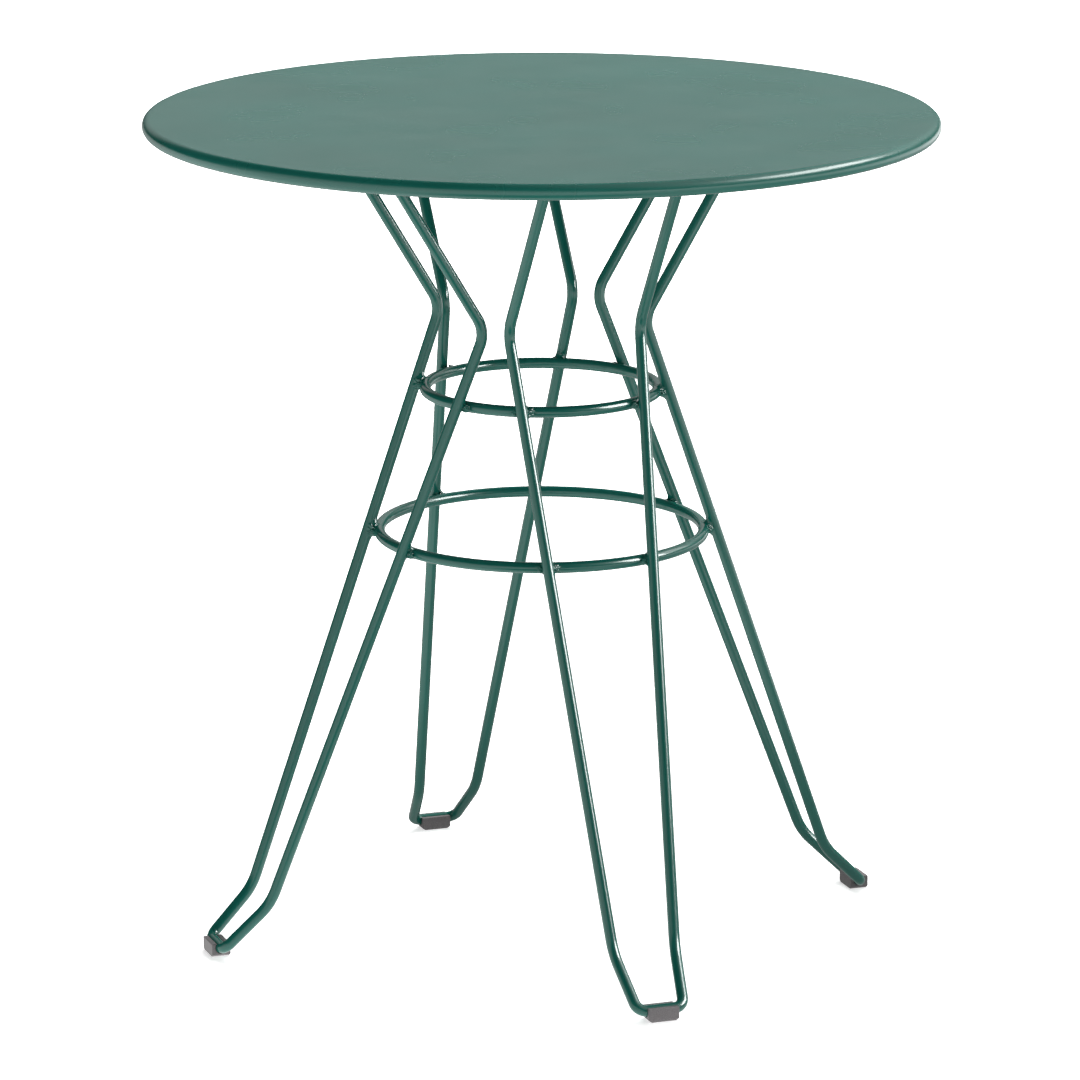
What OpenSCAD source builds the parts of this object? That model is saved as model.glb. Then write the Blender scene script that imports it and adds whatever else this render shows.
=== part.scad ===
// Bistro table: a round pressed-steel top on a cage of four bent-rod legs.
// Each leg is one round rod, bent at the foot, the knees and the waist, with both
// ends welded to a plate that is bolted under the top. Two rod rings tie the cage.
// Millimetres, +Z up, origin on the floor under the centre of the top.
// The legs stand on -Y (front), +X (right), +Y (back) and -X (left).

/* [Tabletop] */
// Diameter of the round top over its rolled rim
top_d = 700; // [500:10:900]
// Height from the floor to the top surface
table_h = 737; // [720:1:760]
// Thickness of the top's steel sheet
sheet_t = 1.5; // [1:0.1:2]
// Outer radius of the rolled rim
rim_r = 7; // [4:0.5:8]

/* [Leg rod] */
// Diameter of the round rod in the legs and rings
rod_d = 10; // [8:0.5:11]
// Centreline bend radius at the two corners of a foot
foot_bend_r = 10; // [9:1:12]
// Centreline bend radius at a knee
knee_bend_r = 55; // [20:5:70]
// Centreline bend radius at the waist
waist_bend_r = 28; // [15:1:40]

/* [Leg shape] */
// Radial distance of the foot's straight stretch
foot_reach = 306; // [290:1:320]
// Half the width of the foot, to the corner of the bent rod
foot_half_w = 21; // [20:0.5:24]
// Radial distance of a knee's corner
knee_reach = 264.5; // [255:0.5:275]
// Half the distance between the two knees of a leg
knee_half_w = 28.2; // [26:0.2:32]
// Height of a knee's corner
knee_h = 49; // [45:0.5:60]
// Radial distance of a waist corner
waist_reach = 75; // [60:0.5:90]
// Half the distance between the two rods of a leg at the waist
waist_half_w = 61; // [50:0.5:65]
// Height of a waist corner
waist_h = 560; // [540:1:580]
// How far a rod flares outward for each millimetre that it rises above the waist
flare = 0.61; // [0.5:0.01:0.7]
// How far the waist lies to one side of the foot, the same way around on every leg
waist_shift = 3.5; // [0:0.5:5]
// How far the leg plate lies to that side of the foot
plate_shift = 8.5; // [0:0.5:10]

/* [Rings] */
// Height of the lower ring's centreline
lower_ring_h = 363; // [300:1:400]
// Height of the upper ring's centreline
upper_ring_h = 492; // [440:1:520]

/* [Glides] */
// Radial width of a plastic glide
glide_w = 17; // [16:0.5:20]
// Length of a glide along the foot
glide_len = 28; // [20:1:30]
// Height of a glide
glide_h = 12; // [11:0.5:12.5]
// Plastic left under the rod in a glide
glide_floor = 3.5; // [3:0.1:4.5]

/* [Leg plates and fixings] */
// Thickness of the stiffening ring under the top
stiffener_t = 3; // [2:0.5:4]
// Radial width of the stiffening ring
stiffener_w = 54; // [50:1:70]
// Thickness of a leg plate
plate_t = 4; // [3:0.5:5]
// Radial width of a leg plate
plate_w = 34; // [30:1:40]
// Distance between the two fixing studs of a leg plate
stud_pitch = 60; // [40:1:70]
// Diameter of the fixing studs
stud_d = 6; // [5:1:6]

/* [Hidden] */
$fn = 64;

// Direction of each leg, in degrees from +X
RIGHT = 0;
BACK = 90;
LEFT = 180;
FRONT = 270;
LEGS = [RIGHT, BACK, LEFT, FRONT];
SIDES = [-1, 1];

rod_r = rod_d / 2;
rod_z = glide_floor + rod_r;
// Gap that keeps a ring just clear of the rods it is welded to
ring_gap = 0.05;
// A rod is a hair thinner in its bends, and each straight length laps over the start of
// its bends, so that the lengths join into one solid
bend_thinning = 0.02;
bend_lap = 0.2;

// Fixings of a leg plate
stud_head_d = stud_d + 2;
stud_head_h = 1.2;
stud_tip = 1.4;
washer_t = 1.6;
nut_h = 0.8 * stud_d;
hole_clearance = 0.6;

// Levels of the stack under the top, from the sheet down
sheet_z = table_h - sheet_t;
stiffener_z = sheet_z - stiffener_t;
plate_z = stiffener_z - plate_t;
washer_z = plate_z - washer_t;
nut_z = washer_z - nut_h;
stud_end_z = nut_z - stud_tip;

// Middle of the stiffening ring and of the leg plates, from the table's axis
plate_reach = waist_reach + flare * (plate_z - waist_h);
stiffener_r = norm([plate_reach, stud_pitch / 2]);

// Corners on one side of the leg on +X, each [away from the axis, sideways, up]
function foot(side) = [foot_reach, side * foot_half_w, rod_z];
function knee(side) = [knee_reach, side * knee_half_w, knee_h];
function waist(side) = [waist_reach, side * waist_half_w + waist_shift, waist_h];
function plate_joint(side) = [plate_reach, side * waist_half_w + plate_shift, plate_z];
// The uncut end of the rod, inside the top
function rod_end(side) =
    plate_joint(side) + (plate_joint(side) - waist(side)) * rod_d / (plate_z - waist_h);

// The whole rod, from one end under the top, through the foot, to the other end
leg_path = [rod_end(-1), waist(-1), knee(-1), foot(-1), foot(1), knee(1), waist(1), rod_end(1)];
leg_bends = [waist_bend_r, knee_bend_r, foot_bend_r, foot_bend_r, knee_bend_r, waist_bend_r];

// Where the long straight stretch on one side of a leg passes height z
function rod_at(z, side) =
    knee(side) + (waist(side) - knee(side)) * (z - knee_h) / (waist_h - knee_h);
function rod_radius(z, side) = norm([rod_at(z, side)[0], rod_at(z, side)[1]]);
function rod_angle(z, side) = atan2(rod_at(z, side)[1], rod_at(z, side)[0]);
// Radial lean of that stretch, in millimetres for each millimetre of height
function rod_lean(z, side) = (rod_radius(z + 1, side) - rod_radius(z - 1, side)) / 2;
// A ring lies against the inner side of the nearest rods. The sideways shift leaves the
// others a few millimetres away, and their welds fill the gap.
function ring_radius(z) = min([for (s = SIDES)
    rod_radius(z, s) - (rod_d + ring_gap) * sqrt(1 + pow(rod_lean(z, s), 2))]);

green = [0.24, 0.42, 0.37];
plastic = [0.38, 0.37, 0.38];
zinc = [0.72, 0.73, 0.74];

function unit(v) = v / norm(v);

// Turns its children, made along +Z, to start at a and point to b
module along(a, b) {
    d = unit(b - a);
    translate(a) rotate([0, acos(d[2]), atan2(d[1], d[0])]) children();
}

// Its seam is turned away from the sides that the level cuts slant across
module straight_rod(a, b) {
    along(a, b) rotate(90) cylinder(r = rod_r, h = norm(b - a));
}

function bend_angle(a, corner, b) = acos(unit(corner - a) * unit(b - corner));
// Distance from a corner to where its bend starts or ends
function setback(a, corner, b, r) = r * tan(bend_angle(a, corner, b) / 2);

// Bent length of rod that rounds the corner between a and b
module rod_elbow(a, corner, b, r) {
    y = unit(corner - a);
    ahead = unit(b - corner);
    x = -unit(ahead - y * (ahead * y));
    z = cross(x, y);
    centre = corner - y * setback(a, corner, b, r) - x * r;
    multmatrix([
        [x[0], y[0], z[0], centre[0]],
        [x[1], y[1], z[1], centre[1]],
        [x[2], y[2], z[2], centre[2]],
        [0, 0, 0, 1]])
    rotate_extrude(angle = bend_angle(a, corner, b))
        translate([r, 0]) circle(r = rod_r - bend_thinning);
}

// One rod along a path of corners, each rounded to its own bend radius
module bent_rod(path, bends) {
    last = len(path) - 1;
    cut = concat([0],
        [for (i = [1:last - 1]) setback(path[i - 1], path[i], path[i + 1], bends[i - 1]) - bend_lap],
        [0]);
    for (i = [0:last - 1]) {
        d = unit(path[i + 1] - path[i]);
        straight_rod(path[i] + d * cut[i], path[i + 1] - d * cut[i + 1]);
    }
    for (i = [1:last - 1]) rod_elbow(path[i - 1], path[i], path[i + 1], bends[i - 1]);
}

// One leg on +X: the bent rod with its two ends cut level under the leg plate
module leg() {
    difference() {
        bent_rod(leg_path, leg_bends);
        translate([0, -top_d / 2, plate_z]) cube([top_d, top_d, 3 * rod_d]);
    }
}

// Plate that joins the two rod ends of a leg and takes the two studs
module leg_plate() {
    end_r = plate_w / 2;
    difference() {
        translate([plate_reach, plate_shift, plate_z]) linear_extrude(plate_t) {
            for (s = SIDES) translate([0, s * waist_half_w]) circle(r = end_r);
            translate([-end_r, -waist_half_w]) square([plate_w, 2 * waist_half_w]);
        }
        at_studs() translate([0, 0, plate_z - 1])
            cylinder(d = stud_d + hole_clearance, h = plate_t + 2);
    }
}

// Places its children at the two studs of the leg on +X
module at_studs() {
    for (s = SIDES) translate([plate_reach, plate_shift + s * stud_pitch / 2, 0]) children();
}

// Places its children at the studs of all four legs
module at_all_studs() {
    for (a = LEGS) rotate(a) at_studs() children();
}

module rod_ring(z) {
    translate([0, 0, z]) rotate_extrude($fn = 180)
        translate([ring_radius(z), 0]) circle(r = rod_r);
}

// Beads of weld metal in the corners between a ring and the rods, one on each side of a rod.
// The ring is so nearly straight over a weld that a straight rod is cut out in its place.
module ring_welds(z) {
    bead_r = 5.2;
    off_rod = 0.5;
    for (a = LEGS, s = SIDES, t = SIDES) rotate(a) difference() {
        rotate(rod_angle(z, s)) difference() {
            translate([(ring_radius(z) + rod_radius(z, s)) / 2, t * (rod_r + off_rod), z])
                rotate([0, 90, t * 45]) sphere(r = bead_r);
            straight_rod([ring_radius(z), -3 * rod_d, z], [ring_radius(z), 3 * rod_d, z]);
        }
        straight_rod(rod_at(z - rod_d, s), rod_at(z + rod_d, s));
    }
}

// Fillet of weld metal around each rod end, on the underside of its plate. It is a cone
// that widens upward from inside the rod, its seam turned away from the slanting side.
module plate_weld_collars() {
    fillet = 3;
    for (a = LEGS, s = SIDES) rotate(a) difference() {
        along(plate_joint(s) * 2 - rod_end(s), rod_end(s)) rotate(90) difference() {
            cylinder(r1 = rod_r - 1, r2 = rod_r + 2 * fillet, h = 2 * rod_d);
            translate([0, 0, -1]) cylinder(r = rod_r, h = 2 * rod_d + 2);
        }
        translate([0, -top_d / 2, plate_z]) cube([top_d, top_d, 3 * rod_d]);
    }
}

// Clip-on glide under a foot on +X, with a groove that snaps over the rod
module glide() {
    chamfer = 1.2;
    end_chamfer = [3, 2];
    clearance = 0.3;
    snap = 0.3;
    half_w = glide_w / 2;
    half_len = glide_len / 2;
    translate([foot_reach, 0, 0]) difference() {
        intersection() {
            // Section across the foot
            rotate([90, 0, 0]) linear_extrude(glide_len, center = true)
                chamfered(half_w, glide_h, [chamfer, chamfer], chamfer);
            // Outline along the foot, its ends lifted off the floor
            rotate([90, 0, 90]) linear_extrude(glide_w, center = true)
                chamfered(half_len, glide_h, end_chamfer, chamfer);
            // Outline from above
            translate([0, -half_len, 0]) linear_extrude(glide_h)
                chamfered(half_w, glide_len, [chamfer, chamfer], chamfer);
        }
        translate([0, 0, rod_z]) rotate([90, 0, 0])
            cylinder(r = rod_r + clearance, h = glide_len + 2, center = true);
        translate([-rod_r + snap, -half_len - 1, rod_z])
            cube([rod_d - 2 * snap, glide_len + 2, glide_h]);
    }
}

// Rectangle standing on y = 0 with its four corners cut off: the lower two by foot_cut,
// given as [across, up], and the upper two by top_cut both ways
module chamfered(half, h, foot_cut, top_cut) {
    polygon([[-half + foot_cut[0], 0], [half - foot_cut[0], 0], [half, foot_cut[1]],
        [half, h - top_cut], [half - top_cut, h], [-half + top_cut, h], [-half, h - top_cut],
        [-half, foot_cut[1]]]);
}

// Flat sheet whose edge is rolled over outward, down and back up inside
module tabletop() {
    rim_centre = top_d / 2 - rim_r;
    color(green) translate([0, 0, table_h - rim_r]) rotate_extrude() {
        translate([0, rim_r - sheet_t]) square([rim_centre, sheet_t]);
        translate([rim_centre, 0]) difference() {
            circle(r = rim_r);
            circle(r = rim_r - sheet_t);
            translate([-2 * rim_r, 0]) square(2 * rim_r);
        }
    }
}

// Flat ring welded under the sheet to stiffen it and hold the studs
module stiffening_ring() {
    color(green) difference() {
        translate([0, 0, stiffener_z]) difference() {
            cylinder(r = stiffener_r + stiffener_w / 2, h = stiffener_t);
            translate([0, 0, -1])
                cylinder(r = stiffener_r - stiffener_w / 2, h = stiffener_t + 2);
        }
        at_all_studs() stud();
    }
}

// Stud pressed through the stiffening ring, its thin head flush with the ring's top
module stud() {
    translate([0, 0, stud_end_z]) cylinder(d = stud_d, h = sheet_z - stud_end_z);
    translate([0, 0, sheet_z - stud_head_h]) cylinder(d = stud_head_d, h = stud_head_h);
}

module clinch_studs() { color(zinc) at_all_studs() stud(); }
module leg_plate_front() { color(green) rotate(FRONT) leg_plate(); }
module leg_plate_right() { color(green) rotate(RIGHT) leg_plate(); }
module leg_plate_back() { color(green) rotate(BACK) leg_plate(); }
module leg_plate_left() { color(green) rotate(LEFT) leg_plate(); }
module leg_front() { color(green) rotate(FRONT) leg(); }
module leg_right() { color(green) rotate(RIGHT) leg(); }
module leg_back() { color(green) rotate(BACK) leg(); }
module leg_left() { color(green) rotate(LEFT) leg(); }
module upper_ring() { color(green) rod_ring(upper_ring_h); }
module lower_ring() { color(green) rod_ring(lower_ring_h); }
module upper_ring_welds() { color(green) ring_welds(upper_ring_h); }
module lower_ring_welds() { color(green) ring_welds(lower_ring_h); }
module plate_welds() { color(green) plate_weld_collars(); }

module washers() {
    color(zinc) at_all_studs() translate([0, 0, washer_z]) difference() {
        cylinder(d = 2 * stud_d, h = washer_t);
        translate([0, 0, -1]) cylinder(d = stud_d + hole_clearance, h = washer_t + 2);
    }
}

module nuts() {
    across_flats = stud_d * 5 / 3;
    color(zinc) at_all_studs() translate([0, 0, nut_z]) difference() {
        cylinder(d = across_flats / cos(30), h = nut_h, $fn = 6);
        translate([0, 0, -1]) cylinder(d = stud_d, h = nut_h + 2);
    }
}

module glide_front() { color(plastic) rotate(FRONT) glide(); }
module glide_right() { color(plastic) rotate(RIGHT) glide(); }
module glide_back() { color(plastic) rotate(BACK) glide(); }
module glide_left() { color(plastic) rotate(LEFT) glide(); }

tabletop();
stiffening_ring();
clinch_studs();
leg_plate_front();
leg_plate_right();
leg_plate_back();
leg_plate_left();
leg_front();
leg_right();
leg_back();
leg_left();
upper_ring();
lower_ring();
upper_ring_welds();
lower_ring_welds();
plate_welds();
washers();
nuts();
glide_front();
glide_right();
glide_back();
glide_left();
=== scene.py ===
"""The looks of a bistro table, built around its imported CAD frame. Lengths are in metres.

Sizes and places come from the frame wherever it can tell them. The table stands on the floor,
z = 0, with its legs on -Y (front), +X (right), +Y (back) and -X (left).
"""

import math
import random

import bmesh
import bpy
import numpy as np
from mathutils import Matrix, Vector, noise


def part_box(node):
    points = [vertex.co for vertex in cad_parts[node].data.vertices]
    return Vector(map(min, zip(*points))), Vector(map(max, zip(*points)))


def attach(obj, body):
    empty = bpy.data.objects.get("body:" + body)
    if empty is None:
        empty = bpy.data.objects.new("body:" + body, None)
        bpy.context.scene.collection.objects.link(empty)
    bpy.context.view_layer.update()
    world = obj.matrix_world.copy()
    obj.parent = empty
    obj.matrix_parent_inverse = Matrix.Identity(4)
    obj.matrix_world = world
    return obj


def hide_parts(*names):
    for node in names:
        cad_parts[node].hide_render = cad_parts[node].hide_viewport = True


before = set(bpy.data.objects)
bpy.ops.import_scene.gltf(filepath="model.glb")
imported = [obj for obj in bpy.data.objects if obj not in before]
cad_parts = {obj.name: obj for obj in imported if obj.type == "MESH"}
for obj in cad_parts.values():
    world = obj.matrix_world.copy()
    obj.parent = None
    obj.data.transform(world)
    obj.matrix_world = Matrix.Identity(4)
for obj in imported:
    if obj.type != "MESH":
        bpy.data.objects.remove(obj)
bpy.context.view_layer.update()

LEG_TURNS = {"right": 0, "back": 90, "left": 180, "front": 270}


# ---------------------------------------------------------------- measures from the frame

def low(node):
    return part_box(node)[0]


def high(node):
    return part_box(node)[1]


def middle(node):
    return (low(node) + high(node)) / 2


def extent(node):
    return high(node) - low(node)


def leg_turn(leg):
    """Turns a shape made for the leg on +X to the named leg."""
    return Matrix.Rotation(math.radians(LEG_TURNS[leg]), 4, "Z")


TOP_Z = high("tabletop").z
TOP_R = extent("tabletop").x / 2
ROD_R = extent("lower_ring").z / 2
PLATE_Z = low("leg_plate_right").z
FOOT_REACH = middle("glide_right").x
ROD_Z = low("leg_right").z + ROD_R
PLATE_REACH = middle("leg_plate_right").x
PLATE_SHIFT = middle("leg_plate_right").y

# What the frame's boxes can't tell: the corners of a leg's rod and its bend radii
FOOT_HALF_W = 0.021
KNEE_REACH, KNEE_HALF_W, KNEE_Z = 0.2645, 0.0282, 0.049
WAIST_REACH, WAIST_HALF_W, WAIST_Z = 0.075, 0.061, 0.560
WAIST_SHIFT = 0.0035
FOOT_BEND_R = 0.010
KNEE_BEND_R = 0.055
WAIST_BEND_R = 0.028

STUD_PITCH = 0.060
STUD_R = 0.003
NUT_FLATS = 0.010
THREAD_PLAY = 0.0001
SHEET_T = 0.0015
RIM_R = 0.007

# Between the surface of a rod and what is fitted to it
GAP = 0.0002

# How finely round shapes are divided
ROD_SIDES = 40
RING_STEPS = 200
TOP_STEPS = 256
NUT_STEPS = 72


def ring_radius(node):
    return extent(node).x / 2 - ROD_R


# ---------------------------------------------------------------- shapes as points and faces

def rounded_path(corners, radii, step=math.radians(4)):
    """Points along a path whose inner corners are bent to the given radii."""
    path = [corners[0]]
    for before, corner, after, radius in zip(corners, corners[1:], corners[2:], radii):
        back = (before - corner).normalized()
        ahead = (after - corner).normalized()
        turn = math.pi - back.angle(ahead)
        centre = corner + (back + ahead).normalized() * radius / math.cos(turn / 2)
        arm = corner + back * radius * math.tan(turn / 2) - centre
        axis = arm.cross(-back)
        steps = math.ceil(turn / step)
        for i in range(steps + 1):
            path.append(centre + Matrix.Rotation(turn * i / steps, 3, axis) @ arm)
    path.append(corners[-1])
    return path


def sweep(path, radius, sides=ROD_SIDES):
    """A round rod along a path, with flat ends."""
    points, faces, side = [], [], None
    last = len(path) - 1
    for i, point in enumerate(path):
        ahead = (path[min(i + 1, last)] - path[max(i - 1, 0)]).normalized()
        side = side or ahead.orthogonal()
        side = (side - ahead * side.dot(ahead)).normalized()
        up = ahead.cross(side)
        for k in range(sides):
            a = 2 * math.pi * k / sides
            points.append(point + (side * math.cos(a) + up * math.sin(a)) * radius)
    for i in range(last):
        for k in range(sides):
            n = (k + 1) % sides
            faces.append((i * sides + k, i * sides + n, (i + 1) * sides + n, (i + 1) * sides + k))
    faces.append(tuple(reversed(range(sides))))
    faces.append(tuple(last * sides + k for k in range(sides)))
    return points, faces


def revolve(outline, steps):
    """A solid turned about Z from an outline of (radius, height) that starts and ends on the axis,
    or from one that closes on itself."""
    on_axis = outline[0][0] == 0
    rows = outline[1:-1] if on_axis else outline
    count = len(rows)
    points = [Vector((r * math.cos(a), r * math.sin(a), z))
              for a in (2 * math.pi * i / steps for i in range(steps)) for r, z in rows]
    faces = []
    for i in range(steps):
        here, there = i * count, (i + 1) % steps * count
        for k in range(count - 1 if on_axis else count):
            n = (k + 1) % count
            faces.append((here + k, there + k, there + n, here + n))
    if on_axis:
        points += [Vector((0, 0, outline[0][1])), Vector((0, 0, outline[-1][1]))]
        first, final = len(points) - 2, len(points) - 1
        for i in range(steps):
            here, there = i * count, (i + 1) % steps * count
            faces.append((first, there, here))
            faces.append((final, here + count - 1, there + count - 1))
    return points, faces


def moved(shape, matrix):
    return [matrix @ p for p in shape[0]], shape[1]


def joined(shapes):
    points, faces = [], []
    for shape_points, shape_faces in shapes:
        start = len(points)
        points += shape_points
        faces += [tuple(start + i for i in face) for face in shape_faces]
    return points, faces


SHARP_ANGLE = math.radians(35)


def add_piece(name, shape, material, slot, *nodes):
    """Makes a shape into a piece that stands for CAD nodes."""
    mesh = bpy.data.meshes.new(name)
    mesh.from_pydata(shape[0], [], shape[1])
    made = bmesh.new()
    made.from_mesh(mesh)
    bmesh.ops.recalc_face_normals(made, faces=made.faces)
    made.to_mesh(mesh)
    made.free()
    mesh.shade_smooth()
    mesh.set_sharp_from_angle(angle=SHARP_ANGLE)
    mesh.materials.append(material)
    piece = bpy.data.objects.new(name, mesh)
    bpy.context.scene.collection.objects.link(piece)
    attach(piece, "root")
    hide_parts(*nodes)
    return piece


def round_edges(piece, width, segments=3, angle=50):
    """Rounds every edge that turns by more than the angle."""
    bevel = piece.modifiers.new("round_edges", "BEVEL")
    bevel.width = width
    bevel.segments = segments
    bevel.limit_method = "ANGLE"
    bevel.angle_limit = math.radians(angle)
    bevel.harden_normals = True


# ---------------------------------------------------------------- materials

def add_node(tree, kind, inputs=None, **settings):
    made = tree.nodes.new(kind)
    for key, value in settings.items():
        setattr(made, key, value)
    for key, value in (inputs or {}).items():
        if isinstance(value, bpy.types.NodeSocket):
            tree.links.new(value, made.inputs[key])
        else:
            made.inputs[key].default_value = value
    return made


def new_material(name):
    """A material with one Principled shader, and the coordinates of the object's own space."""
    material = bpy.data.materials.new(name)
    material.use_nodes = True
    tree = material.node_tree
    shader = tree.nodes["Principled BSDF"]
    place = tree.nodes.new("ShaderNodeTexCoord").outputs["Object"]
    return material, tree, shader, place


def noise_at(tree, place, scale, detail=2.0):
    made = add_node(tree, "ShaderNodeTexNoise", {"Vector": place, "Scale": scale, "Detail": detail})
    return made.outputs["Fac"]


def ramp(tree, value, low_end, high_end, low_out=0.0, high_out=1.0):
    made = add_node(tree, "ShaderNodeMapRange", {
        "Value": value, "From Min": low_end, "From Max": high_end,
        "To Min": low_out, "To Max": high_out}, interpolation_type="SMOOTHSTEP")
    return made.outputs["Result"]


def blend_colours(tree, factor, a, b):
    """Blends two colours, each a socket or three numbers."""
    colour_a, colour_b, colour_out = 6, 7, 2
    inputs = {"Factor": factor}
    for key, value in ((colour_a, a), (colour_b, b)):
        inputs[key] = value if isinstance(value, bpy.types.NodeSocket) else (*value, 1)
    return add_node(tree, "ShaderNodeMix", inputs, data_type="RGBA").outputs[colour_out]


def bump(tree, height, distance, strength):
    made = add_node(tree, "ShaderNodeBump", {
        "Height": height, "Distance": distance, "Strength": strength})
    return made.outputs["Normal"]


def dot(tree, vector, direction):
    made = add_node(tree, "ShaderNodeVectorMath", {0: vector, 1: direction}, operation="DOT_PRODUCT")
    return made.outputs["Value"]


def multiply(tree, a, b):
    return add_node(tree, "ShaderNodeMath", {0: a, 1: b}, operation="MULTIPLY").outputs[0]


def add(tree, a, b):
    return add_node(tree, "ShaderNodeMath", {0: a, 1: b}, operation="ADD").outputs[0]


GREEN = (0.0058, 0.112, 0.087)
GREEN_DEEP = (0.0042, 0.092, 0.070)
ZINC_BLUE = (0.62, 0.65, 0.69)
ZINC_YELLOW = (0.66, 0.62, 0.52)
GREY_DARK = (0.105, 0.098, 0.101)
GREY_PALE = (0.135, 0.126, 0.130)
GREY_SCUFFED = (0.25, 0.24, 0.24)

# Noise scales are the number of spots along a metre
CLOUDS, GLOSS_CLOUDS, PEEL = 9, 11, 420
ZINC_PATCHES, ZINC_GRAIN = 260, 900
SCUFF_SPECKS, PLASTIC_GRAIN = 1400, 2200
SCUFF_TOP = 0.003


def green_paint(name, base_roughness, peel_strength, gloss_spread=0.04):
    """Baked powder coat: a faint orange peel, soft clouds in its colour and gloss."""
    material, tree, shader, place = new_material(name)
    clouds = noise_at(tree, place, CLOUDS)
    colour = blend_colours(tree, ramp(tree, clouds, 0.1, 0.9), GREEN_DEEP, GREEN)
    tree.links.new(colour, shader.inputs["Base Color"])
    gloss = noise_at(tree, place, GLOSS_CLOUDS)
    roughness = ramp(tree, gloss, 0.05, 0.95,
                     base_roughness - gloss_spread, base_roughness + gloss_spread)
    tree.links.new(roughness, shader.inputs["Roughness"])
    shader.inputs["IOR"].default_value = 1.5
    peel = noise_at(tree, place, PEEL, 1)
    tree.links.new(bump(tree, peel, 0.00006, peel_strength), shader.inputs["Normal"])
    return material


def zinc_plate():
    """Bright zinc plating on the fixings: a bluish white with dull, yellower patches."""
    material, tree, shader, place = new_material("zinc_plate")
    patches = noise_at(tree, place, ZINC_PATCHES, 4)
    colour = blend_colours(tree, ramp(tree, patches, 0.4, 0.65), ZINC_BLUE, ZINC_YELLOW)
    tree.links.new(colour, shader.inputs["Base Color"])
    shader.inputs["Metallic"].default_value = 1
    roughness = ramp(tree, noise_at(tree, place, ZINC_GRAIN, 3), 0.3, 0.7, 0.28, 0.42)
    tree.links.new(roughness, shader.inputs["Roughness"])
    tree.links.new(bump(tree, patches, 0.00005, 0.4), shader.inputs["Normal"])
    return material


def glide_plastic():
    """Grey moulded plastic with a fine grain, scuffed paler towards the floor."""
    material, tree, shader, place = new_material("glide_plastic")
    height = add_node(tree, "ShaderNodeSeparateXYZ", {"Vector": place}).outputs["Z"]
    scuffs = ramp(tree, height, 0.0, SCUFF_TOP, 0.6, 0.0)
    specks = ramp(tree, noise_at(tree, place, SCUFF_SPECKS, 3), 0.45, 0.6)
    grey = blend_colours(tree, specks, GREY_DARK, GREY_PALE)
    colour = blend_colours(tree, multiply(tree, scuffs, specks), grey, GREY_SCUFFED)
    tree.links.new(colour, shader.inputs["Base Color"])
    shader.inputs["Roughness"].default_value = 0.5
    grain = noise_at(tree, place, PLASTIC_GRAIN)
    tree.links.new(bump(tree, grain, 0.00008, 0.5), shader.inputs["Normal"])
    return material


# ---------------------------------------------------------------- the top

def tabletop(flat_steps=40, roll_steps=48):
    """The flat sheet and its edge, rolled outward, down and back up inside."""
    roll_turn = 270
    rim_x = TOP_R - RIM_R
    rim_z = TOP_Z - RIM_R
    inner_r = RIM_R - SHEET_T
    flat = [rim_x * i / flat_steps for i in range(flat_steps + 1)]
    rolls = [math.radians(90 - roll_turn * i / roll_steps) for i in range(1, roll_steps + 1)]
    outline = [(r, TOP_Z) for r in flat]
    for radius, angles in ((RIM_R, rolls), (inner_r, reversed(rolls))):
        outline += [(rim_x + radius * math.cos(a), rim_z + radius * math.sin(a)) for a in angles]
    outline += [(r, TOP_Z - SHEET_T) for r in reversed(flat)]
    return revolve(outline, TOP_STEPS)


# ---------------------------------------------------------------- legs and rings

def half_leg(side):
    """The corners on one side of the leg on +X, from the plate down to the foot. The waist and
    the plate lie a little to one side of the foot, the same way around on every leg."""
    return [Vector((PLATE_REACH, side * WAIST_HALF_W + PLATE_SHIFT, PLATE_Z)),
            Vector((WAIST_REACH, side * WAIST_HALF_W + WAIST_SHIFT, WAIST_Z)),
            Vector((KNEE_REACH, side * KNEE_HALF_W, KNEE_Z)),
            Vector((FOOT_REACH, side * FOOT_HALF_W, ROD_Z))]


def leg():
    """The bent rod of the leg on +X, its two ends cut level under the plate."""
    corners = half_leg(-1) + half_leg(1)[::-1]
    radii = [WAIST_BEND_R, KNEE_BEND_R, FOOT_BEND_R]
    path = rounded_path(corners, radii + radii[::-1])
    points, faces = sweep(path, ROD_R)
    first_ring, last_ring = range(ROD_SIDES), range(len(points) - ROD_SIDES, len(points))
    for tip, inner, ring in ((path[0], path[1], first_ring), (path[-1], path[-2], last_ring)):
        rise = (tip - inner).normalized()
        for k in ring:
            points[k] = points[k] + rise * (PLATE_Z - points[k].z) / rise.z
    return points, faces


def rod_ring(node, sides=36):
    """A rod bent to a full circle."""
    circle = [2 * math.pi * i / sides for i in range(sides)]
    radius, z = ring_radius(node), middle(node).z
    outline = [(radius + ROD_R * math.cos(a), z + ROD_R * math.sin(a)) for a in circle]
    return revolve(outline, RING_STEPS)


# ---------------------------------------------------------------- welds

def distance_to_rod(points, start, end):
    """Distances of points from the surface of a straight round rod."""
    start, axis = np.array(start), np.array((end - start).normalized())
    from_start = points - start
    off_axis = from_start - np.outer(from_start @ axis, axis)
    return np.linalg.norm(off_axis, axis=1) - ROD_R


def distance_to_ring(points, radius, z):
    """Distances of points from the surface of a rod ring."""
    off_circle = np.hypot(points[:, 0], points[:, 1]) - radius
    return np.hypot(off_circle, points[:, 2] - z) - ROD_R


def ball(subdivisions):
    """The directions of an even ball's points, and its faces."""
    made = bmesh.new()
    bmesh.ops.create_icosphere(made, subdivisions=subdivisions, radius=1)
    directions = [v.co.copy() for v in made.verts]
    faces = [tuple(v.index for v in f.verts) for f in made.faces]
    made.free()
    return directions, faces


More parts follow.
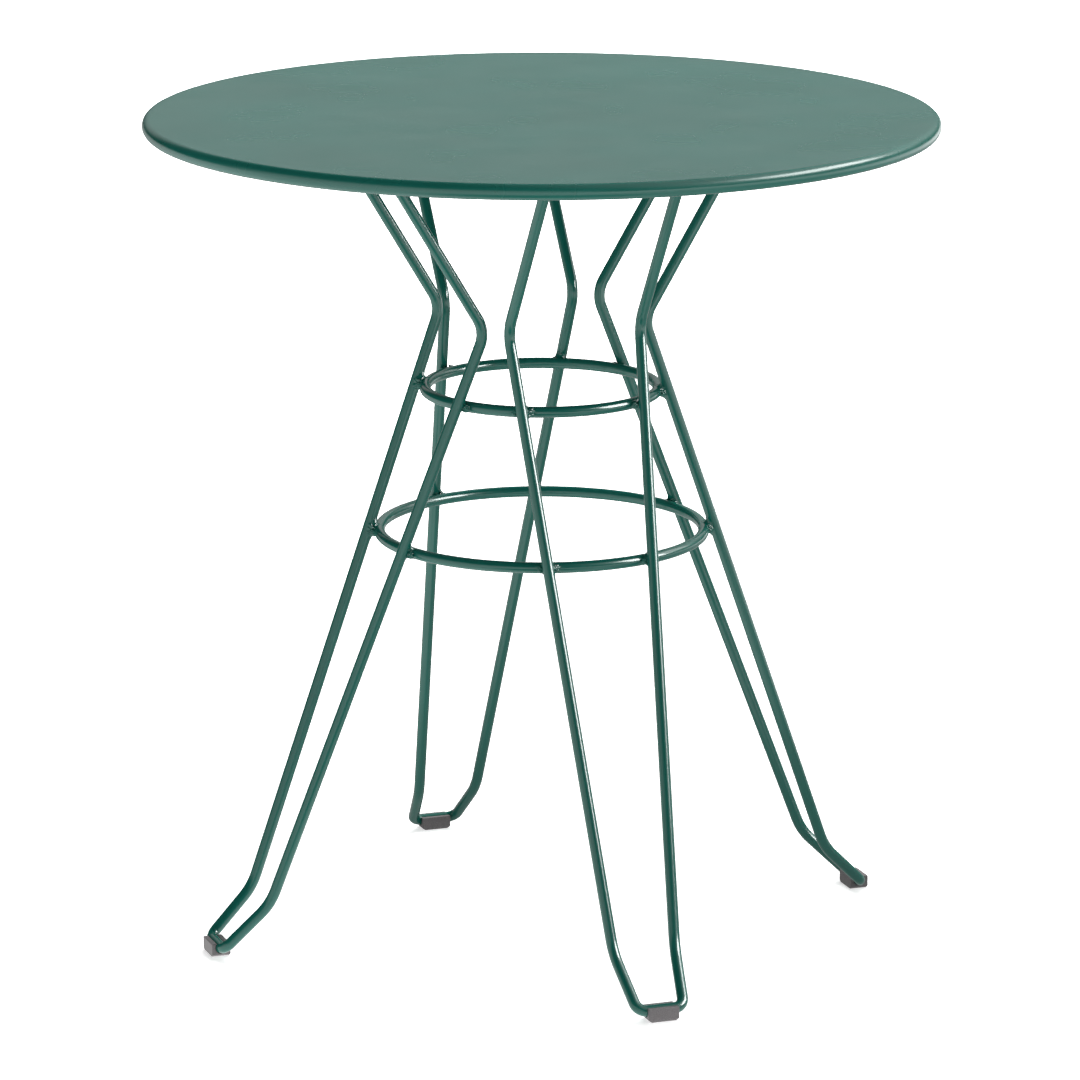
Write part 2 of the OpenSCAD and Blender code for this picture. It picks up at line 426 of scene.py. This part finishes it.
def weld_bead(centre, surfaces, fillet, drop, reach, seed):
    """Weld metal that fills the corner between two surfaces around a centre. It is a ball whose
    points go out until they leave the fillet between the surfaces and the drop of metal around
    the centre. The fillet fades out with the distance, and lumps make it all irregular."""
    directions, faces = ball(5)
    lump_scale, ripple_scale, steps = 2.2, 6, 90
    skin, least_width = 0.00005, 1e-6
    lumps = np.array([noise.noise(d * lump_scale + Vector((seed, 0, 0))) for d in directions])
    ripples = np.array([noise.noise(d * ripple_scale + Vector((0, seed, 0))) for d in directions])
    rays = np.array(directions)
    out = np.zeros(len(rays))
    growing = np.ones(len(rays), bool)
    for step in np.linspace(0, reach, steps):
        points = np.array(centre) + rays * step
        a, b = surfaces(points)
        fade = 1 - (step / reach) ** 2
        width = fillet * (1 + 0.5 * lumps + 0.2 * ripples) * fade + least_width
        overlap = np.maximum(width - np.abs(a - b), 0) / width
        growing &= np.minimum(a, b) - overlap ** 2 * width / 4 + skin < 0
        out[growing] = step
    out = np.maximum(out, drop * (1 + 0.3 * lumps + 0.12 * ripples))
    return [Vector(np.array(centre) + ray * step) for ray, step in zip(rays, out)], faces


def ring_welds(node, fillet=0.0085, drop=0.0034):
    """Two beads at each crossing of a ring and a rod, the larger one inside the leg."""
    z, radius = middle(node).z, ring_radius(node)
    draw = random.Random(5)
    beads = []
    for turn in LEG_TURNS:
        for side in (-1, 1):
            waist, knee = half_leg(side)[1:3]
            rod = knee.lerp(waist, (z - knee.z) / (waist.z - knee.z))
            outward = Vector((rod.x, rod.y, 0)).normalized()
            along = Vector((-outward.y, outward.x, 0))
            for t in (-1, 1):
                size = fillet * (draw.uniform(0.8, 1.1) if t != side else draw.uniform(0.55, 0.8))
                between = (radius + rod.to_2d().length) / 2
                centre = Vector((0, 0, z)) + outward * between + along * t * (ROD_R + GAP)

                def surfaces(points):
                    return distance_to_rod(points, knee, waist), distance_to_ring(points, radius, z)

                drop_r = drop * draw.uniform(0.85, 1.15)
                bead = weld_bead(centre, surfaces, size, drop_r, 2.2 * size, draw.uniform(0, 50))
                beads.append(moved(bead, leg_turn(turn)))
    return joined(beads)


def plate_welds(fillet=0.005, reach=0.02, overlap=0.0005):
    """A collar of weld metal around each rod end. It goes a little way into the plate above."""
    draw = random.Random(8)
    beads = []
    for turn in LEG_TURNS:
        for side in (-1, 1):
            end, waist = half_leg(side)[:2]

            def surfaces(points):
                return distance_to_rod(points, waist, end), PLATE_Z - points[:, 2]

            points, faces = weld_bead(end, surfaces, fillet, 0, reach, draw.uniform(0, 50))
            for point in points:
                point.z = min(point.z, PLATE_Z + overlap)
            beads.append(moved((points, faces), leg_turn(turn)))
    return joined(beads)


# ---------------------------------------------------------------- glides

def glide(end_cut=0.003, end_lift=0.002):
    """The clip-on glide of the leg on +X: a block with a groove for the rod. Its underside
    rises a little at both ends."""
    half_w = extent("glide_right").x / 2
    half_len = extent("glide_right").y / 2
    height = extent("glide_right").z
    groove_r = ROD_R + GAP
    groove_steps = 20
    mouth = math.asin((height - ROD_Z) / groove_r)
    turns = [-mouth + (math.pi + 2 * mouth) * i / groove_steps for i in range(groove_steps + 1)]
    groove = [(-groove_r * math.cos(a), ROD_Z - groove_r * math.sin(a)) for a in turns]
    outline = [(-half_w, 0), (-half_w, height)] + groove + [(half_w, height), (half_w, 0)]
    stations = [(-half_len, end_lift), (end_cut - half_len, 0), (half_len - end_cut, 0),
                (half_len, end_lift)]
    points = [Vector((FOOT_REACH + x, y, max(z, lift))) for y, lift in stations for x, z in outline]
    count = len(outline)
    faces = [(k * count + i, k * count + (i + 1) % count,
              (k + 1) * count + (i + 1) % count, (k + 1) * count + i)
             for k in range(len(stations) - 1) for i in range(count)]
    final = (len(stations) - 1) * count
    faces += [tuple(range(count)), tuple(reversed(range(final, final + count)))]
    return points, faces


# ---------------------------------------------------------------- nuts

def hex_nut(base, height):
    """A hex nut with its corners chamfered at both faces. It is turned round first; then every
    point that lies outside the hexagon is drawn in to it."""
    sixth = math.pi / 3
    half_flats = NUT_FLATS / 2
    corner_r = half_flats / math.cos(sixth / 2)
    face_r = 0.95 * half_flats
    chamfer = (corner_r - face_r) * math.tan(math.radians(30))
    bore_r = STUD_R + THREAD_PLAY
    outline = [(bore_r, 0), (face_r, 0), (corner_r, chamfer), (corner_r, height - chamfer),
               (face_r, height), (bore_r, height)]
    points, faces = revolve(outline, NUT_STEPS)
    for point in points:
        angle = math.atan2(point.y, point.x)
        off_flat = (angle + sixth / 2) % sixth - sixth / 2
        limit = half_flats / math.cos(off_flat)
        radius = point.to_2d().length
        if radius > limit:
            point.x, point.y = point.x * limit / radius, point.y * limit / radius
    return [point + base for point in points], faces


def nuts():
    base_z, height = low("nuts").z, extent("nuts").z
    draw = random.Random(3)
    made = []
    for turn in LEG_TURNS:
        for side in (-1, 1):
            nut = hex_nut(Vector((0, 0, base_z)), height)
            twist = Matrix.Rotation(draw.uniform(0, math.pi / 3), 4, "Z")
            stud = Matrix.Translation((PLATE_REACH, PLATE_SHIFT + side * STUD_PITCH / 2, 0))
            made.append(moved(nut, leg_turn(turn) @ stud @ twist))
    return joined(made)


# ---------------------------------------------------------------- CAD nodes that stay

def dress(node, material, edge=0.0004):
    """Gives a CAD node that stays its material and slightly rounded edges."""
    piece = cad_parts[node]
    piece.data.materials.clear()
    piece.data.materials.append(material)
    weld = piece.modifiers.new("weld", "WELD")
    weld.merge_threshold = 1e-6
    flat = piece.modifiers.new("flat_faces", "DECIMATE")
    flat.decimate_type = "DISSOLVE"
    flat.angle_limit = math.radians(1)
    round_edges(piece, edge, segments=2, angle=30)


# ---------------------------------------------------------------- studio

CAMERA_AZIMUTH = math.radians(-19.6)
CAMERA_DISTANCE = 5.054
CAMERA_HEIGHT = 1.590
CAMERA_YAW = math.radians(0.0149)
CAMERA_PITCH = math.radians(-13.759)
CAMERA_ROLL = math.radians(0.03)
CAMERA_LENS = 194.46
CAMERA_SENSOR = 36

# The brightness of the studio as the table feels it
BAND_GLOW = 0.54
FRONT_GLOW = 1.25
DARK_SIDE = 0.03
BRIGHT_SIDE = 1.2
FLOOR_FRONT = 1.6
FLOOR_BACK = 0.55
FLOOR_SIDE = 1.5
SHADOW_GLOW = 0.12

# Where the paper is lit: azimuths to the right of the camera, and reaches in metres
FRONT_AZIMUTH = -40
SIDE_AZIMUTH = 88
SIDE_START, SIDE_END = 1.2, 2.4
SHADOW_REACH = 0.9
SHADOW_R, SHADOW_EDGE_R = 0.3, 0.65
FLOOR_HALF_W = 30

STUDIO_CENTRE = Vector((0, 0, 0.45))


def add_camera():
    data = bpy.data.cameras.new("camera")
    data.lens = CAMERA_LENS
    data.sensor_width = CAMERA_SENSOR
    camera = bpy.data.objects.new("camera", data)
    bpy.context.scene.collection.objects.link(camera)
    toward = Vector((math.sin(CAMERA_AZIMUTH), -math.cos(CAMERA_AZIMUTH), 0))
    ahead = -toward * math.cos(CAMERA_PITCH) + Vector((0, 0, math.sin(CAMERA_PITCH)))
    place = Matrix.Translation(toward * CAMERA_DISTANCE + Vector((0, 0, CAMERA_HEIGHT)))
    aim = Matrix.Rotation(CAMERA_YAW, 4, "Z") @ ahead.to_track_quat("-Z", "Y").to_matrix().to_4x4()
    camera.matrix_world = place @ aim @ Matrix.Rotation(CAMERA_ROLL, 4, "Z")
    bpy.context.scene.camera = camera


def studio_direction(azimuth, elevation):
    """A direction from the table, by its azimuth to the right of the camera and its elevation."""
    a, e = CAMERA_AZIMUTH + math.radians(azimuth), math.radians(elevation)
    return Vector((math.sin(a) * math.cos(e), -math.cos(a) * math.cos(e), math.sin(e)))


def softbox(name, azimuth, elevation, width, height, radiance, distance=3, gloss=True, diffuse=True):
    """A lit panel that faces the table. Its width, height and distance are in metres."""
    data = bpy.data.lights.new(name, "AREA")
    data.shape = "RECTANGLE"
    data.size, data.size_y = width, height
    data.energy = radiance * math.pi * width * height
    light = bpy.data.objects.new(name, data)
    bpy.context.scene.collection.objects.link(light)
    back = studio_direction(azimuth, elevation)
    light.location = STUDIO_CENTRE + back * distance
    light.rotation_mode = "QUATERNION"
    light.rotation_quaternion = (-back).to_track_quat("-Z", "Y")
    light.visible_camera = False
    light.visible_glossy = gloss
    light.visible_diffuse = diffuse
    return light


def link_light(light, piece, state):
    """Lets a light shine on one piece only ("INCLUDE"), or keeps it off that piece ("EXCLUDE")."""
    group = bpy.data.collections.new(light.name + "_link")
    group.objects.link(piece)
    group.collection_objects[0].light_linking.link_state = state
    light.light_linking.receiver_collection = group


def seen_or_felt(tree, seen, felt):
    """One shader for the camera, and another for the light that falls on the table."""
    is_seen = add_node(tree, "ShaderNodeLightPath").outputs["Is Camera Ray"]
    shaders = {0: is_seen, 1: felt.outputs[0], 2: seen.outputs[0]}
    return add_node(tree, "ShaderNodeMixShader", shaders).outputs[0]


def add_surround():
    """A studio that is white to the camera. To the table it is dark overhead, with a pale band
    low behind, white paper that sweeps up a little in front and a bright side to the right."""
    world = bpy.data.worlds.new("studio")
    world.use_nodes = True
    tree = world.node_tree
    tree.nodes.clear()
    direction = add_node(tree, "ShaderNodeTexCoord").outputs["Generated"]
    height = add_node(tree, "ShaderNodeSeparateXYZ", {"Vector": direction}).outputs["Z"]

    def rising(low_angle, high_angle, low_out=0.0, high_out=1.0):
        """Goes from one strength to another between two elevations."""
        limits = math.sin(math.radians(low_angle)), math.sin(math.radians(high_angle))
        return ramp(tree, height, *limits, low_out, high_out)

    def facing(azimuth, elevation, low_end, high_end, low_out, high_out):
        """Goes from one strength to another as the direction turns towards a place."""
        toward = dot(tree, direction, studio_direction(azimuth, elevation))
        return ramp(tree, toward, low_end, high_end, low_out, high_out)

    behind = multiply(tree, rising(1, 12), rising(22, 45, 1, 0))
    behind = multiply(tree, behind, facing(180, 10, 0.8, 0.96, 0, BAND_GLOW))
    paper = facing(FRONT_AZIMUTH, 5, 0.45, 0.8, 0, FRONT_GLOW)
    sweep_up = multiply(tree, rising(13, 26, 1, 0), paper)
    side = facing(98, 30, 0.35, 0.9, DARK_SIDE, BRIGHT_SIDE)
    window = multiply(tree, rising(9, 22, 0.2, 1), side)
    felt_strength = add(tree, add(tree, behind, sweep_up), window)
    white = (1, 1, 1, 1)
    seen = add_node(tree, "ShaderNodeBackground", {"Color": white, "Strength": 1.0})
    felt = add_node(tree, "ShaderNodeBackground", {"Color": white, "Strength": felt_strength})
    mixed = seen_or_felt(tree, seen, felt)
    add_node(tree, "ShaderNodeOutputWorld", {"Surface": mixed})
    bpy.context.scene.world = world


def floor_material():
    """White paper. The camera sees it bright, with room for faint contact shadows. To the table
    it is bright in front and far to the right, dimmer behind, and dark where the shadow of the
    top falls in front."""
    material = bpy.data.materials.new("floor")
    material.use_nodes = True
    tree = material.node_tree
    tree.nodes.clear()
    place = tree.nodes.new("ShaderNodeTexCoord").outputs["Object"]
    fibres = noise_at(tree, place, 300, 3)
    white = blend_colours(tree, fibres, (0.80, 0.80, 0.80), (0.84, 0.84, 0.84))
    paper = add_node(tree, "ShaderNodeBsdfDiffuse", {"Color": white})
    lift = add_node(tree, "ShaderNodeEmission", {"Strength": 0.6})
    seen = add_node(tree, "ShaderNodeAddShader", {0: paper.outputs[0], 1: lift.outputs[0]})
    bearing = add_node(tree, "ShaderNodeVectorMath", {0: place}, operation="NORMALIZE").outputs[0]
    to_shadow = add_node(tree, "ShaderNodeVectorMath", {
        0: place, 1: studio_direction(0, 0) * SHADOW_REACH}, operation="DISTANCE").outputs["Value"]
    shadow = ramp(tree, to_shadow, SHADOW_R, SHADOW_EDGE_R, SHADOW_GLOW, 1)
    to_front = dot(tree, bearing, studio_direction(FRONT_AZIMUTH, 0))
    front = ramp(tree, to_front, -0.5, 0.7, FLOOR_BACK, FLOOR_FRONT)
    to_side = dot(tree, place, studio_direction(SIDE_AZIMUTH, 0))
    side = ramp(tree, to_side, SIDE_START, SIDE_END, 0, FLOOR_SIDE)
    brightness = add(tree, multiply(tree, front, shadow), side)
    felt = add_node(tree, "ShaderNodeEmission", {"Strength": brightness})
    mixed = seen_or_felt(tree, seen, felt)
    add_node(tree, "ShaderNodeOutputMaterial", {"Surface": mixed})
    return material


def add_floor():
    mesh = bpy.data.meshes.new("floor")
    corners = [Vector((x, y, 0)) * FLOOR_HALF_W for x, y in ((-1, -1), (1, -1), (1, 1), (-1, 1))]
    mesh.from_pydata(corners, [], [(0, 1, 2, 3)])
    mesh.materials.append(floor_material())
    floor = bpy.data.objects.new("floor", mesh)
    bpy.context.scene.collection.objects.link(floor)


def add_studio():
    bpy.context.scene.view_settings.view_transform = "Standard"
    add_camera()
    add_surround()
    add_floor()
    # The shine on the frame would turn the top white from behind, so the top has its own,
    # higher up, which shows along the rim.
    top = bpy.data.objects["rolled_tabletop"]
    key_shine = softbox("key_shine", 78, 25, 1.6, 1.6, 23, diffuse=False)
    key_spill = softbox("key_spill", 92, 31, 3.4, 1.8, 3.2, diffuse=False)
    rim_shine = softbox("rim_shine", 92, 38, 2.2, 1.0, 14, diffuse=False)
    link_light(key_shine, top, "EXCLUDE")
    link_light(key_spill, top, "EXCLUDE")
    link_light(rim_shine, top, "INCLUDE")
    softbox("key_light", 75, 12, 2.3, 1.9, 1.0, gloss=False)
    softbox("back_light", 165, 38, 5, 5, 9.4, distance=6, gloss=False)


# ---------------------------------------------------------------- the table

def build_table():
    top_paint = green_paint("top_paint", 0.26, 0.06)
    frame_paint = green_paint("frame_paint", 0.18, 0.4)
    zinc = zinc_plate()
    plastic = glide_plastic()
    add_piece("rolled_tabletop", tabletop(), top_paint, "top_paint", "tabletop")
    leg_shape, glide_shape = leg(), glide()
    for name in LEG_TURNS:
        turned = moved(leg_shape, leg_turn(name))
        add_piece("bent_rod_" + name, turned, frame_paint, "frame_paint", "leg_" + name)
        turned = moved(glide_shape, leg_turn(name))
        piece = add_piece("clip_glide_" + name, turned, plastic, "glide_plastic", "glide_" + name)
        round_edges(piece, 0.0009)
        dress("leg_plate_" + name, frame_paint)
    for name in ("upper_ring", "lower_ring"):
        add_piece("rod_" + name, rod_ring(name), frame_paint, "frame_paint", name)
        add_piece("beads_" + name, ring_welds(name), frame_paint, "frame_paint", name + "_welds")
    add_piece("beads_plates", plate_welds(), frame_paint, "frame_paint", "plate_welds")
    dress("stiffening_ring", top_paint)
    add_piece("hex_nuts", nuts(), zinc, "zinc_fixings", "nuts")
    for node in ("clinch_studs", "washers"):
        dress(node, zinc, 0.0003)


build_table()
add_studio()
